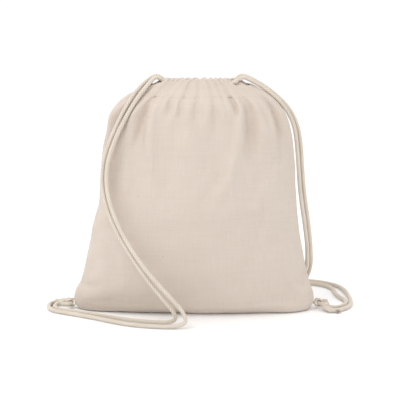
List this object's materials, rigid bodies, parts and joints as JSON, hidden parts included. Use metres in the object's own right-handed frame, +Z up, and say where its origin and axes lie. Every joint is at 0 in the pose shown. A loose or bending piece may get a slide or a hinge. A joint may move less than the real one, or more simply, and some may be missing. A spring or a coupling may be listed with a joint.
{
  "type": "drawstring backpack",
  "caption": "Drawstring cotton backpack, filled out and standing, mouth gathered shut on two cords whose pairs of strands form the shoulder straps down to loops at the bottom corners.",
  "frame": {"origin": "on the ground under the middle of the bag, cords left out", "axes": "+Z up, +X to the right seen from the front, front panel faces -Y"},
  "size_m": [0.463, 0.2447, 0.3502],
  "materials": {
    "calico": "matte",
    "thread": "matte",
    "cotton_cord": "matte",
    "cotton_tape": "matte"
  },
  "bodies": {
    "bag": {"front_panel": "calico", "back_panel": "calico", "front_casing_hem": "calico", "back_casing_hem": "calico", "front_casing_stitching": "thread", "back_casing_stitching": "thread", "left_side_seam": "calico", "right_side_seam": "calico", "bottom_seam": "calico", "left_slit_tack": "thread", "right_slit_tack": "thread", "left_corner_loop": "cotton_tape", "right_corner_loop": "cotton_tape", "left_loop_tack": "thread", "right_loop_tack": "thread", "left_casing_cord": "cotton_cord", "right_casing_cord": "cotton_cord", "left_cord_knot": "cotton_cord", "right_cord_knot": "cotton_cord"},
    "left_strap": {"left_strap_back_strand": "cotton_cord", "left_strap_front_strand": "cotton_cord"},
    "right_strap": {"right_strap_back_strand": "cotton_cord", "right_strap_front_strand": "cotton_cord"}
  },
  "joints": [
    {"name": "left_strap_swing", "type": "hinge", "parent": "bag", "child": "left_strap", "pos_m": [-0.0475, 0, 0.3425], "axis": [-0.397, 0.0315, -0.9173], "range_deg": [0, 25], "deforming": ["left_strap_back_strand", "left_strap_front_strand"]},
    {"name": "right_strap_swing", "type": "hinge", "parent": "bag", "child": "right_strap", "pos_m": [0.0615, 0, 0.3425], "axis": [0.364, -0.032, -0.9308], "range_deg": [0, 25], "deforming": ["right_strap_back_strand", "right_strap_front_strand"]}
  ]
}
